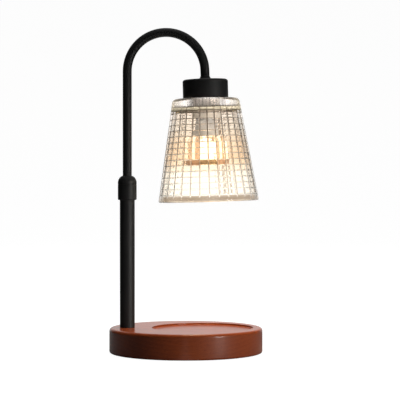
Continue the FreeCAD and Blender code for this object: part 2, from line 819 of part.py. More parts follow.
# pressed steel cap, open below, standing on the glass
cap_low = D.cap_top - D.cap_hgt
b = body("cap_cup", HEAD, True)
cup = revolve(
    b,
    [
        (arm_r + 0.1, D.cap_top - D.cap_wall),
        (D.cap_r - D.cap_wall, D.cap_top - D.cap_wall),
        (D.cap_r - D.cap_wall, cap_low),
        (D.cap_r, cap_low),
        (D.cap_r, D.cap_top),
        (arm_r + 0.1, D.cap_top),
    ],
)
f = fillet(b, cup, ring_edges(cup.Shape, D.cap_r.v, D.cap_top.v), 2.2, "crown")
fillet(
    b, f, ring_edges(f.Shape, D.cap_r.v - D.cap_wall.v, D.cap_top.v - D.cap_wall.v), 1.0, "inner_crown"
)
node(b, "cap_cup")

# bracket strap, washer and nut on the threaded end of the arm
strap_z = D.cap_top - D.cap_wall - 1.2
b = body("holder_bracket", HEAD, True)
pad(
    b,
    lambda s: outline(s, [(-15.7, -6.0), (15.7, -6.0), (15.7, 6.0), (-15.7, 6.0)]),
    1.2,
    "strap",
    strap_z,
)
for side, x1, x2 in (("a", -15.7, -14.5), ("b", 14.5, 15.7)):
    pad(
        b,
        lambda s, x1=x1, x2=x2: outline(s, [(x1, -6.0), (x2, -6.0), (x2, 6.0), (x1, 6.0)]),
        strap_z - D.holder_top,
        "leg_" + side,
        D.holder_top,
    )
for side, x1, x2 in (("a", -15.7, -7.6), ("b", 7.6, 15.7)):
    pad(
        b,
        lambda s, x1=x1, x2=x2: outline(s, [(x1, -6.0), (x2, -6.0), (x2, 6.0), (x1, 6.0)]),
        1.2,
        "foot_" + side,
        D.holder_top,
    )
pocket(b, lambda s: circle(s, arm_r + 0.15), 3.0, "centre_hole", D.cap_top - D.cap_wall + 1.0)
pocket(b, lambda s: circle(s, 1.7, -11.0), 2.2, "screw_hole_a", D.holder_top + 1.7)
pocket(b, lambda s: circle(s, 1.7, 11.0), 2.2, "screw_hole_b", D.holder_top + 1.7)
node(b, "holder_bracket")

b = body("cap_washer", HEAD, True)
revolve(
    b,
    [
        (arm_r + 0.15, strap_z - 0.8),
        (8.0, strap_z - 0.8),
        (8.0, strap_z),
        (arm_r + 0.15, strap_z),
    ],
)
node(b, "cap_washer")
b = body("cap_nut", HEAD, True)


def hexagon(s, circumradius):
    outline(
        s,
        [
            (circumradius * math.cos(math.radians(60 * i)), circumradius * math.sin(math.radians(60 * i)))
            for i in range(6)
        ],
    )
    circle(s, arm_r + 0.04)


pad(b, lambda s: hexagon(s, 7.5), 4.0, "hex", strap_z - 4.8)
node(b, "cap_nut")

# GU10 lampholder: ceramic barrel with two kidney slots for the bulb's pins
holder_len = D.holder_top - D.holder_low
barrel = cylinder("holder_barrel", D.holder_r, holder_len, 0.0, 0.0, D.holder_low)
cutters = []
for side in (0, 180):
    for i in range(7):
        a = side - D.twist.v * i / 6.0
        e = "(%d - dims.twist * %d / 6)" % (side, i)
        px = D.pin_pr * Q(math.cos(math.radians(a)), "cos(%s)" % e)
        py = D.pin_pr * Q(math.sin(math.radians(a)), "sin(%s)" % e)
        cutters.append(cylinder("slot_%d_%d" % (side, i), 1.7, 3.0, px, py, D.holder_low - 1.0))
        cutters.append(cylinder("room_%d_%d" % (side, i), 2.62, 4.6, px, py, D.holder_low + 1.6))
        if i == 6:
            cutters.append(cylinder("entry_%d" % side, 2.62, 3.0, px, py, D.holder_low - 1.0))
    sx = D.pin_pr * (1.0 if side == 0 else -1.0)
    cutters.append(cylinder("contact_hole_%d" % side, 2.1, 26.0, sx, 0.0, D.holder_low + 6.0))
    cutters.append(
        cylinder("bracket_hole_%d" % side, 1.5, 8.0, 11.0 * (1.0 if side == 0 else -1.0), 0.0, D.holder_top - 7.0)
    )
holder = cut("lampholder_cut", barrel, fuse("holder_holes", *cutters))
node(put(holder, HEAD, True), "lampholder")


def head_group(name, *shapes):
    return node(put(group(name + "_group", *shapes), HEAD, True), name)


head_group(
    "holder_contacts",
    cylinder("contact_a", 2.05, 14.0, 5.0, 0.0, D.holder_low + 6.3),
    cylinder("contact_b", 2.05, 14.0, -5.0, 0.0, D.holder_low + 6.3),
)


def machine_screw(name, x, z):
    """Pan-head screw standing head up at z."""
    head = cylinder(name + "_head", 2.7, 1.9, x, 0.0, z)
    shank = cylinder(name + "_shank", 1.45, 7.6, x, 0.0, q(z) - 7.6)
    slot = box(name + "_slot", 4.0, 0.6, 1.0, x, 0.0, q(z) + 1.1)
    return cut(name, fuse(name + "_blank", head, shank), slot)


head_group(
    "holder_screws",
    machine_screw("holder_screw_a", 11.0, D.holder_top + 1.2),
    machine_screw("holder_screw_b", -11.0, D.holder_top + 1.2),
)

# glass shade: closed top with a hole, plain cone, open rim
glass_top = cap_low
slope = (D.shade_rb - D.shade_rt) / glass_top
inner_top = glass_top - D.shade_cap
low_r = D.shade_rb - slope * D.shade_low
b = body("glass_shade", HEAD, True)
glass = revolve(
    b,
    [
        (low_r - D.shade_wall, D.shade_low),
        (low_r, D.shade_low),
        (D.shade_rt, glass_top),
        (D.shade_hole, glass_top),
        (D.shade_hole, inner_top),
        (D.shade_rb - D.shade_wall - slope * inner_top, inner_top),
    ],
)
f = fillet(b, glass, ring_edges(glass.Shape, D.shade_rt.v, glass_top.v), 4.5, "shoulder")
f = fillet(
    b,
    f,
    ring_edges(f.Shape, (D.shade_rb - D.shade_wall - slope * inner_top).v, inner_top.v),
    3.0,
    "inner_shoulder",
)
f = fillet(b, f, ring_edges(f.Shape, low_r.v, D.shade_low.v), 1.2, "outer_rim")
fillet(b, f, ring_edges(f.Shape, low_r.v - D.shade_wall.v, D.shade_low.v), 1.2, "inner_rim")
node(b, "glass_shade")

b = body("shade_gasket", HEAD, True)
revolve(b, [(14.7, inner_top - 1.6), (19.0, inner_top - 1.6), (19.0, inner_top), (14.7, inner_top)])
node(b, "shade_gasket")
b = body("shade_ring", HEAD, True)
ring_z = inner_top - 1.6
ring = revolve(
    b,
    [
        (D.holder_r + 0.05, ring_z - 4.4),
        (18.2, ring_z - 4.4),
        (19.5, ring_z - 3.1),
        (19.5, ring_z),
        (D.holder_r + 0.05, ring_z),
    ],
)
notch = pocket(b, lambda s: circle(s, 1.3, 20.0, 0.0), 5.4, "grip", ring_z + 0.5)
polar(b, notch, 12, "grips")
node(b, "shade_ring")

# ================================================================== bulb
b = body("bulb_neck", HEAD, True)
revolve(
    b,
    [
        (0, D.neck_z),
        (12.4, D.neck_z),
        (11.2, D.neck_z + 4.0),
        (10.6, D.neck_top - 1.0),
        (9.6, D.neck_top),
        (0, D.neck_top),
    ],
)
node(b, "bulb_neck")

b = body("bulb_reflector", HEAD, True)
revolve(
    b,
    [
        (0, D.neck_z - 2.0),
        (10.8, D.neck_z - 2.0, -6.6),
        (D.bulb_r - 3.0, 59.0),
        (D.bulb_r - 2.0, 41.4),
        (D.bulb_r - 1.2, 39.4),
        (D.bulb_r - 1.2, D.rim_z),
        (D.bulb_r, D.rim_z),
        (D.bulb_r, 41.0),
        (D.bulb_r - 1.6, 59.4, 8.0),
        (12.8, D.neck_z),
        (0, D.neck_z),
    ],
)
node(b, "bulb_reflector")

b = body("bulb_lens", HEAD, True)
revolve(
    b,
    [
        (0, 37.2),
        (D.bulb_r - 2.6, 37.2),
        (D.bulb_r - 1.3, 37.9),
        (D.bulb_r - 1.3, 39.3),
        (0, 39.3),
    ],
)
node(b, "bulb_lens")

b = body("bulb_capsule", HEAD, True)
revolve(
    b,
    [
        (0, 42.0),
        (1.2, 42.0, 6.6),
        (7.4, 48.4),
        (7.4, 59.8, 6.6),
        (3.6, D.neck_z - 2.0),
        (0, D.neck_z - 2.0),
    ],
)
node(b, "bulb_capsule")

pins = []
for i, sx in enumerate((5.0, -5.0)):
    shank = cylinder("pin_%d_shank" % i, 1.5, 2.2, sx, 0.0, D.neck_top)
    head = cylinder("pin_%d_head" % i, 2.4, 3.4, sx, 0.0, D.neck_top + 2.0)
    pins.append(fuse("pin_%d" % i, shank, head))
head_group("bulb_pins", *pins)

# ================================================================== leads
def tangent_tube(points, radius):
    """Round tube along straight runs joined by tangent arcs, each as large as
    its two runs allow; also returns the arc radii and the line's length."""
    pts = [Vector(*p) for p in points]
    edges, radii, at_ = [], [], pts[0]
    for a, c, d in zip(pts, pts[1:], pts[2:]):
        u, w = (c - a), (d - c)
        run = min(u.Length, w.Length)
        u.normalize()
        w.normalize()
        turn = math.acos(max(-1.0, min(1.0, u.dot(w))))
        reach = 0.45 * run
        radii.append(reach / math.tan(turn / 2))
        p, s = c - u * reach, c + w * reach
        mid_dir = (w - u)
        mid_dir.normalize()
        centre = c + mid_dir * (radii[-1] / math.cos(turn / 2))
        mid = centre - mid_dir * radii[-1]
        edges.append(Part.LineSegment(at_, p).toShape())
        edges.append(Part.Arc(p, mid, s).toShape())
        at_ = s
    edges.append(Part.LineSegment(at_, pts[-1]).toShape())
    path = Part.Wire(edges)
    start = (pts[1] - pts[0])
    start.normalize()
    section = Part.Wire([Part.Circle(pts[0], start, radius).toShape()])
    tube_shape = path.makePipeShell([section], True, False, 0)
    exact = math.pi * radius**2 * path.Length
    if abs(tube_shape.Volume - exact) > 0.01 * exact:
        raise RuntimeError("lead volume %.1f, expected %.1f" % (tube_shape.Volume, exact))
    return tube_shape, radii, path.Length


def lead(name, routes, radius, placement=None):
    shapes = []
    for r in routes:
        shape, radii, length = tangent_tube(r, radius)
        print(name, "length %.1f" % length, "arc radii", [round(x, 1) for x in radii])
        shapes.append(shape)
    f = doc.addObject("Part::Feature", name)
    f.Shape = shapes[0] if len(shapes) == 1 else Part.Compound(shapes)
    if placement is not None:
        f.Placement = placement
    return node(f, name)


px = -D.pole_off.v
# from the terminal block, under the stud and up through its bore
lead(
    "base_lead",
    [
        [
            (block_x - 6.1, block_y - 5.6, ceiling.v - 3.6),
            (block_x - 12.6, block_y - 5.6, ceiling.v - 3.6),
            (px + 1.4, 9.6, 5.2),
            (px, 0.3, 5.0),
            (px, 0.0, 15.5),
            (px, 0.0, 33.0),
        ]
    ],
    1.6,
)
# spare length in the pole, taken up as the arm slides
lead(
    "slack_lead",
    [
        [
            (px, 0.0, 33.0),
            (px, 0.0, 38.0),
            (px + 2.9, 0.0, 45.5),
            (px - 2.9, 0.0, 55.7),
            (px + 2.9, 0.0, 65.8),
            (px - 2.9, 0.0, 75.7),
            (px, 0.0, 83.0),
            (px, 0.0, 88.0),
        ]
    ],
    1.6,
)
head_place = Placement(Vector(head_x.v, 0, head_z.v), Rotation(Vector(0, 1, 0), -D.tilt.v))
tail_z = D.cap_top.v - D.tail.v
lead(
    "holder_leads",
    [
        [
            (s * 0.82, 0.0, tail_z),
            (s * 0.82, 0.0, tail_z - 1.4),
            (s * 5.0, 0.0, tail_z - 5.0),
            (s * 5.0, 0.0, D.holder_low.v + 20.3),
        ]
        for s in (1.0, -1.0)
    ],
    0.78,
    head_place,
)

# ------------------------------------------------------------ check and export
doc.recompute()
bad = [o.Name for o in doc.Objects if "Invalid" in o.State or "Error" in o.State]
if bad:
    raise RuntimeError("failed objects: %s" % bad)
for name, obj in NODES:
    shape = obj.Shape
    if shape.isNull() or not shape.isValid() or shape.Volume <= 0 or not shape.Solids:
        raise RuntimeError("%s has no valid solid" % name)
os.makedirs("parts", exist_ok=True)
for name, obj in NODES:
    obj.Shape.exportStep("parts/%s.step" % name)
print("%d nodes, head frame at %.3f, %.3f" % (len(NODES), head_x.v, head_z.v))
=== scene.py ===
"""Looks of the candle warmer lamp: finishes, the pressed-glass shade, the lit bulb, studio and camera."""
import json
import math

import bpy
from mathutils import Matrix, Vector

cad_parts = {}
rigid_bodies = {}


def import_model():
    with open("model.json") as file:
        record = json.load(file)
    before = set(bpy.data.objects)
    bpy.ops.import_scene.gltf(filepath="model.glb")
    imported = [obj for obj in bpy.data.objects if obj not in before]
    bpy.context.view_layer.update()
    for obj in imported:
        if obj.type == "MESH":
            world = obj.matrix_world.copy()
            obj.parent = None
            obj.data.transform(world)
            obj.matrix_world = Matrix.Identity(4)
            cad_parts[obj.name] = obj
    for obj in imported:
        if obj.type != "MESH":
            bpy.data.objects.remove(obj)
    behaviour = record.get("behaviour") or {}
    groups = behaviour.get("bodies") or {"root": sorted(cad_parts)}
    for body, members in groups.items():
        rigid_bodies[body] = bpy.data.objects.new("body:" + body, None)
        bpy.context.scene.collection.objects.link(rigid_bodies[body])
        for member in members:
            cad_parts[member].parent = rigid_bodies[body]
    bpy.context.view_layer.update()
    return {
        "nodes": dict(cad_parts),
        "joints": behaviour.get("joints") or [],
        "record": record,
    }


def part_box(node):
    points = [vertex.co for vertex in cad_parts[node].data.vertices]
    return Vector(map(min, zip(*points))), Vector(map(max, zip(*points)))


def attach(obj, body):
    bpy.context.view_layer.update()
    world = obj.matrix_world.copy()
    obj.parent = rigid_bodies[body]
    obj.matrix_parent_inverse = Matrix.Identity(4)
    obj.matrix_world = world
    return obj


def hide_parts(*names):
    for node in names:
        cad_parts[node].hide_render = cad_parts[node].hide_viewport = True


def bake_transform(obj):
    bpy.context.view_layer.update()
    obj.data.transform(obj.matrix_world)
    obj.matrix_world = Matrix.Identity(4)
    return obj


for stray in list(bpy.data.objects):
    bpy.data.objects.remove(stray)

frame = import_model()
NODES = frame["nodes"]

# the head's own frame: centre of the shade's rim, z up the head's axis
twist = next(j for j in frame["joints"] if j["name"] == "bulb_twist")
head_up = Vector(twist["axis"]).normalized()
HEAD = Matrix.Translation(twist["pos_m"]) @ Matrix.Rotation(
    -math.atan2(-head_up.x, head_up.z), 4, "Y"
)
MM = 0.001


# ---------------------------------------------------------------- material kit
class Mat:
    """A node material being put together around one Principled shader."""

    def __init__(self, name):
        self.mat = bpy.data.materials.new(name)
        self.mat.use_nodes = True
        self.tree = self.mat.node_tree
        self.tree.nodes.clear()
        self.out = self.tree.nodes.new("ShaderNodeOutputMaterial")
        self.bsdf = self.tree.nodes.new("ShaderNodeBsdfPrincipled")
        self.tree.links.new(self.bsdf.outputs["BSDF"], self.out.inputs["Surface"])
        self.place = None

    def node(self, kind, inputs=None, **settings):
        n = self.tree.nodes.new(kind)
        for key, value in settings.items():
            setattr(n, key, value)
        for key, value in (inputs or {}).items():
            self.feed(n.inputs[key], value)
        return n

    def feed(self, socket, value):
        if isinstance(value, bpy.types.NodeSocket):
            self.tree.links.new(value, socket)
        elif socket.type == "RGBA" and len(value) == 3:
            socket.default_value = (*value, 1.0)
        else:
            socket.default_value = value

    def set(self, **values):
        for key, value in values.items():
            self.feed(self.bsdf.inputs[key.replace("_", " ")], value)
        return self

    def at(self, scale=None, shift=None):
        """Object coordinates in metres, stretched by scale."""
        if self.place is None:
            self.place = self.node("ShaderNodeTexCoord").outputs["Object"]
        p = self.place
        if shift is not None:
            p = self.node("ShaderNodeVectorMath", {0: p, 1: shift}, operation="ADD").outputs[0]
        if scale is not None:
            p = self.node("ShaderNodeVectorMath", {0: p, 1: scale}, operation="MULTIPLY").outputs[0]
        return p

    def noise(self, scale, detail=2.0, rough=0.5, where=None, distortion=0.0):
        return self.node(
            "ShaderNodeTexNoise",
            {
                "Vector": where if where is not None else self.at(),
                "Scale": scale,
                "Detail": detail,
                "Roughness": rough,
                "Distortion": distortion,
            },
        ).outputs["Fac"]

    def cells(self, scale, where=None, feature="F1", randomness=1.0):
        return self.node(
            "ShaderNodeTexVoronoi",
            {
                "Vector": where if where is not None else self.at(),
                "Scale": scale,
                "Randomness": randomness,
            },
            feature=feature,
        ).outputs["Distance"]

    def span(self, value, a, b, low, high):
        """value from a..b onto low..high, clamped."""
        return self.node(
            "ShaderNodeMapRange",
            {"Value": value, "From Min": a, "From Max": b, "To Min": low, "To Max": high},
        ).outputs["Result"]

    def ramp(self, value, *stops):
        n = self.node("ShaderNodeValToRGB", {"Fac": value})
        ends = n.color_ramp.elements
        ends.remove(ends[1])
        ends[0].position, ends[0].color = stops[0][0], (*stops[0][1], 1.0)
        for pos, colour in stops[1:]:
            ends.new(pos).color = (*colour, 1.0)
        return n.outputs["Color"]

    def blend(self, fac, a, b, how="MIX"):
        n = self.node("ShaderNodeMix", data_type="RGBA", blend_type=how)
        self.feed(n.inputs[0], fac)
        self.feed(n.inputs[6], a)
        self.feed(n.inputs[7], b)
        return n.outputs[2]

    def calc(self, operation, a, b=0.0):
        return self.node("ShaderNodeMath", {0: a, 1: b}, operation=operation).outputs[0]

    def bump(self, height, depth, strength=1.0, over=None):
        inputs = {"Height": height, "Distance": depth, "Strength": strength}
        if over is not None:
            inputs["Normal"] = over
        return self.node("ShaderNodeBump", inputs).outputs["Normal"]

    def lets_light_by(self):
        """Shadow rays pass, so that lamps light what is inside the glass."""
        path = self.node("ShaderNodeLightPath")
        clear = self.node("ShaderNodeBsdfTransparent", {"Color": (0.92, 0.90, 0.87)})
        mix = self.node(
            "ShaderNodeMixShader",
            {0: path.outputs["Is Shadow Ray"], 1: self.bsdf.outputs["BSDF"], 2: clear.outputs[0]},
        )
        self.tree.links.new(mix.outputs[0], self.out.inputs["Surface"])
        return self


# ---------------------------------------------------------------- finishes
def lacquered_wood():
    """Flat-sawn board along X, stained reddish brown under satin lacquer."""
    m = Mat("lacquered_wood")
    drift = m.node(
        "ShaderNodeTexNoise", {"Vector": m.at((3.0, 9.0, 9.0)), "Scale": 1.0, "Detail": 2.0}
    ).outputs["Color"]
    pith = m.at(shift=(0.0, 0.021, 0.085))
    swirl = m.node(
        "ShaderNodeVectorMath", {0: drift, 1: (0.0, 0.016, 0.016)}, operation="MULTIPLY"
    ).outputs[0]
    warped = m.node("ShaderNodeVectorMath", {0: pith, 1: swirl}, operation="ADD").outputs[0]
    stretched = m.node(
        "ShaderNodeVectorMath", {0: warped, 1: (0.12, 1.0, 1.0)}, operation="MULTIPLY"
    ).outputs[0]
    rings = m.node(
        "ShaderNodeTexWave",
        {
            "Vector": stretched,
            "Scale": 78.0,
            "Distortion": 3.2,
            "Detail": 3.0,
            "Detail Scale": 0.22,
            "Detail Roughness": 0.6,
        },
        wave_type="RINGS",
        rings_direction="X",
        wave_profile="SAW",
    ).outputs["Fac"]
    fibre = m.noise(1.0, 4.0, 0.6, m.at((45.0, 900.0, 900.0)))
    pores = m.noise(1.0, 2.0, 0.5, m.at((70.0, 2100.0, 2100.0)))
    cloud = m.noise(1.0, 3.0, 0.55, m.at((14.0, 26.0, 26.0)))
    grain = m.ramp(
        rings,
        (0.0, (0.200, 0.0385, 0.0096)),
        (0.55, (0.185, 0.0345, 0.0085)),
        (0.86, (0.165, 0.0295, 0.0076)),
        (1.0, (0.200, 0.0385, 0.0098)),
    )
    colour = m.blend(m.span(fibre, 0.35, 0.68, 0.0, 0.55), grain, (0.122, 0.0205, 0.0056))
    colour = m.blend(m.span(cloud, 0.34, 0.68, 0.0, 0.42), colour, (0.255, 0.0530, 0.0130))
    open_pore = m.span(pores, 0.60, 0.72, 0.0, 0.75)
    colour = m.blend(open_pore, colour, (0.060, 0.0110, 0.0042))
    height = m.calc("SUBTRACT", m.calc("MULTIPLY", fibre, 0.25), open_pore)
    peel = m.bump(m.noise(240.0, 2.0, 0.5), 0.00012, 0.18)
    m.set(
        Base_Color=colour,
        Roughness=m.span(fibre, 0.3, 0.7, 0.40, 0.52),
        Normal=m.bump(height, 0.00005, 0.4, peel),
        Specular_IOR_Level=0.12,
        Coat_Weight=0.62,
        Coat_Roughness=0.17,
        Coat_IOR=1.30,
    )
    m.feed(m.bsdf.inputs["Coat Normal"], peel)
    return m.mat


def black_powder_coat():
    m = Mat("black_powder_coat")
    fine = m.noise(1500.0, 2.0, 0.55)
    broad = m.noise(55.0, 3.0, 0.5)
    dust = m.span(m.noise(620.0, 3.0, 0.6), 0.62, 0.74, 0.0, 0.30)
    shade = m.ramp(broad, (0.35, (0.0118, 0.0118, 0.0120)), (0.65, (0.0158, 0.0156, 0.0156)))
    m.set(
        Base_Color=m.blend(dust, shade, (0.030, 0.030, 0.031)),
        Roughness=m.calc(
            "ADD", m.span(broad, 0.3, 0.7, 0.46, 0.53), m.span(fine, 0.3, 0.7, 0.0, 0.05)
        ),
        Specular_IOR_Level=0.22,
        Normal=m.bump(fine, 0.00005, 0.35, m.bump(m.noise(210.0, 2.0, 0.5), 0.00010, 0.12)),
    )
    return m.mat


def tint_with_painted_glow(m, strength=1.0):
    """Tint that follows the height of the shade, darker at the rim, with the lit bulb's warm glow painted into its
    middle band as colour.
    """
    z = m.node("ShaderNodeSeparateXYZ", {0: m.at()}).outputs[2]
    h = m.span(z, 0.0, 0.1034, 0.0, 1.0)
    base = m.ramp(
        h,
        (0.060, (0.54, 0.47, 0.39)),
        (0.080, (0.94, 0.90, 0.83)),
        (0.26, (0.96, 0.91, 0.82)),
        # the warm stops here are the painted glow of the bulb
        (0.42, (0.85, 0.70, 0.54)),
        (0.58, (0.84, 0.71, 0.57)),
        (0.70, (0.80, 0.735, 0.65)),
        (0.88, (0.82, 0.75, 0.68)),
        (0.95, (0.90, 0.82, 0.78)),
    )
    patch = m.noise(38.0, 2.0, 0.5)
    return m.blend(m.span(patch, 0.35, 0.65, 0.0, 0.22), base, (0.92, 0.88, 0.84))


def ribbed_glass():
    m = Mat("ribbed_glass")
    m.set(
        Base_Color=tint_with_painted_glow(m),
        Roughness=m.span(m.noise(70.0, 3.0, 0.5), 0.3, 0.7, 0.015, 0.05),
        Transmission_Weight=1.0,
        IOR=1.50,
        Normal=m.bump(m.noise(160.0, 2.0, 0.5), 0.0002, 0.25),
    )
    return m.lets_light_by().mat


def cut_glass(name, dark, light, low, high):
    """Matte ground faces of the cuts, painted dark as a painted shade for the dark lines the cuts show; the painted
    shade fades towards the rim and in the top band.
    """
    m = Mat(name)
    tone = m.blend(m.span(m.noise(420.0, 3.0, 0.6), 0.3, 0.7, 0.0, 1.0), dark, light)
    z = m.node("ShaderNodeSeparateXYZ", {0: m.at()}).outputs[2]
    # lighter below 66 mm and above 89 mm: less painted shade there
    painted_shade_fade = m.calc("ADD", m.span(z, 0.066, 0.012, 0.0, 0.85), m.span(z, 0.089, 0.096, 0.0, 0.60))
    m.set(
        Base_Color=m.blend(painted_shade_fade, tone, tuple(min(0.62, 3.6 * c) for c in light)),
        Roughness=m.span(m.noise(900.0, 2.0, 0.5), 0.3, 0.7, low, high),
        Transmission_Weight=1.0,
        IOR=1.50,
        Normal=m.bump(m.noise(1100.0, 2.0, 0.6), 0.00008, 0.5),
    )
    return m.lets_light_by().mat


def painted_band(name, a, b):
    """Opaque bands at the inside top corner, the ceiling and the hole wall: the dark ones are painted shade for the
    dark lines there, with a paler bead painted between them.
    """
    m = Mat(name)
    grain = m.noise(700.0, 3.0, 0.6)
    m.set(
        Base_Color=m.blend(m.span(grain, 0.3, 0.7, 0.0, 1.0), a, b),
        Roughness=m.span(grain, 0.3, 0.7, 0.5, 0.65),
        Normal=m.bump(grain, 0.00005, 0.4),
    )
    return m.mat


def satin_glass(name, a, b, rough):
    """Glass that the mould leaves satin."""
    m = Mat(name)
    m.set(
        Base_Color=m.blend(m.span(m.noise(60.0, 2.0, 0.5), 0.35, 0.65, 0.0, 1.0), a, b),
        Roughness=m.span(m.noise(300.0, 2.0, 0.5), 0.3, 0.7, *rough),
        Transmission_Weight=1.0,
        IOR=1.50,
        Normal=m.bump(m.noise(160.0, 2.0, 0.5), 0.0002, 0.2),
    )
    return m.lets_light_by().mat


def bulb_glass():
    """Mirror-coated reflector glass, glowing where the lamp behind it shines through."""
    m = Mat("bulb_glass")
    m.set(
        Base_Color=m.blend(
            m.span(m.noise(90.0, 2.0, 0.5), 0.35, 0.65, 0.0, 1.0), (0.90, 0.78, 0.66), (0.94, 0.84, 0.74)
        ),
        Roughness=m.span(m.noise(240.0, 2.0, 0.5), 0.3, 0.7, 0.02, 0.05),
        Transmission_Weight=0.92,
        IOR=1.47,
        Normal=m.bump(m.noise(300.0, 2.0, 0.5), 0.0001, 0.2),
    )
    m.set(Emission_Color=(1.0, 0.66, 0.44), Emission_Strength=0.03)
    return m.lets_light_by().mat


def bulb_rib():
    """Clear upright ribs of the reflector: they pipe the lamp's light."""
    m = Mat("bulb_rib")
    m.set(
        Base_Color=m.blend(m.noise(140.0), (1.0, 0.90, 0.72), (1.0, 0.95, 0.84)),
        Roughness=m.span(m.noise(300.0), 0.3, 0.7, 0.10, 0.22),
        Transmission_Weight=0.6,
        IOR=1.47,
        Normal=m.bump(m.noise(400.0), 0.0001, 0.3),
    )
    m.set(Emission_Color=(1.0, 0.94, 0.80), Emission_Strength=1.2)
    return m.lets_light_by().mat


def bulb_rim():
    """Rolled front rim of the reflector, amber where the light leaves it edge-on, and painted darker brown as a
    painted shade in front of and behind the filament."""
    m = Mat("bulb_rim")
    grain = m.noise(220.0)
    x = m.node("ShaderNodeSeparateXYZ", {0: m.at()}).outputs[0]
    # painted shade: darker brown where |x| is under 12.5 mm
    front_back_painted_shade = m.span(m.calc("ABSOLUTE", x), 0.0070, 0.0125, 1.0, 0.0)
    m.set(
        Base_Color=m.blend(
            front_back_painted_shade,
            m.blend(grain, (0.44, 0.30, 0.205), (0.60, 0.43, 0.31)),
            m.blend(grain, (0.25, 0.185, 0.085), (0.40, 0.30, 0.155)),
        ),
        Roughness=m.span(m.noise(300.0), 0.3, 0.7, 0.12, 0.24),
        Transmission_Weight=0.5,
        IOR=1.47,
        Normal=m.bump(m.noise(400.0), 0.0001, 0.3),
    )
    m.set(Emission_Color=(1.0, 0.50, 0.28), Emission_Strength=0.05)
    return m.lets_light_by().mat


def bulb_front():
    m = Mat("bulb_front")
    dimple = m.cells(330.0, randomness=0.35)
    m.set(
        Base_Color=m.blend(m.noise(60.0), (1.0, 0.93, 0.80), (1.0, 0.97, 0.90)),
        Roughness=m.span(dimple, 0.0, 0.6, 0.10, 0.28),
        Transmission_Weight=0.7,
        IOR=1.47,
        Normal=m.bump(dimple, 0.0008, 0.7),
    )
    m.set(Emission_Color=(1.0, 0.76, 0.54), Emission_Strength=0.40)
    return m.lets_light_by().mat


def capsule_glass():
    m = Mat("capsule_glass")
    m.set(
        Base_Color=m.blend(m.noise(200.0), (1.0, 0.95, 0.85), (1.0, 0.98, 0.92)),
        Roughness=m.span(m.noise(400.0), 0.3, 0.7, 0.12, 0.22),
        Normal=m.bump(m.noise(500.0), 0.0001, 0.3),
    )
    m.set(Emission_Color=(1.0, 0.92, 0.78), Emission_Strength=4.5)
    return m.mat


def ceramic(name, a, b, spots):
    """Unglazed steatite with a faint speckle."""
    m = Mat(name)
    speck = m.span(m.noise(1300.0, 2.0, 0.6), 0.60, 0.72, 0.0, 0.55)
    body = m.blend(m.span(m.noise(70.0, 3.0, 0.5), 0.35, 0.65, 0.0, 1.0), a, b)
    m.set(
        Base_Color=m.blend(speck, body, spots),
        Roughness=m.span(m.noise(350.0, 3.0, 0.5), 0.3, 0.7, 0.46, 0.62),
        Normal=m.bump(m.noise(800.0, 3.0, 0.6), 0.00006, 0.45),
    )
    return m.mat


def rubber(name, a, b, scale=900.0, pocks=0.0, rough=(0.72, 0.88)):
    m = Mat(name)
    grit = m.noise(scale, 3.0, 0.6)
    height = grit
    if pocks:
        height = m.calc("ADD", grit, m.span(m.cells(pocks), 0.0, 0.35, 0.0, 1.0))
    m.set(
        Base_Color=m.blend(m.span(m.noise(80.0, 3.0, 0.55), 0.35, 0.65, 0.0, 1.0), a, b),
        Roughness=m.span(grit, 0.3, 0.7, *rough),
        Specular_IOR_Level=0.3,
        Normal=m.bump(height, 0.00012, 0.5),
    )
    return m.mat


def plastic(name, a, b, rough=(0.38, 0.50), scale=1200.0):
    """Moulded plastic with a fine spark-eroded texture."""
    m = Mat(name)
    m.set(
        Base_Color=m.blend(m.span(m.noise(45.0, 3.0, 0.5), 0.35, 0.65, 0.0, 1.0), a, b),
        Roughness=m.span(m.noise(500.0, 2.0, 0.5), 0.3, 0.7, *rough),
        Normal=m.bump(m.noise(scale, 2.0, 0.55), 0.00004, 0.4),
    )
    return m.mat


def metal(name, a, b, rough=(0.20, 0.34), along=(1.0, 1.0, 14.0), scale=260.0, wear=None):
    """Plated or bare metal with faint machining lines and handling marks."""
    m = Mat(name)
    lines = m.noise(scale, 3.0, 0.6, m.at(along))
    tone = m.blend(m.span(m.noise(120.0, 3.0, 0.5), 0.35, 0.65, 0.0, 1.0), a, b)
    if wear is not None:
        tone = m.blend(m.span(m.noise(420.0, 4.0, 0.65), 0.58, 0.72, 0.0, 0.7), tone, wear)
    m.set(
        Base_Color=tone,
        Metallic=1.0,
        Roughness=m.span(lines, 0.3, 0.7, *rough),
        Normal=m.bump(lines, 0.00003, 0.35),
    )
    return m.mat


def cast_weight():
    m = Mat("cast_weight")
    sand = m.noise(700.0, 5.0, 0.65)
    m.set(
        Base_Color=m.blend(m.span(sand, 0.35, 0.68, 0.0, 1.0), (0.030, 0.030, 0.032), (0.075, 0.073, 0.070)),
        Metallic=0.35,
        Roughness=m.span(sand, 0.3, 0.7, 0.52, 0.74),
        Normal=m.bump(sand, 0.0003, 0.55),
    )
    return m.mat


def painted_sheet():
    m = Mat("black_sheet")
    fine = m.noise(1100.0, 3.0, 0.6)
    m.set(
        Base_Color=m.ramp(m.noise(50.0, 3.0), (0.35, (0.016, 0.016, 0.017)), (0.65, (0.026, 0.026, 0.027))),
        Roughness=m.span(fine, 0.3, 0.7, 0.48, 0.62),
        Normal=m.bump(fine, 0.00006, 0.5),
    )
    return m.mat


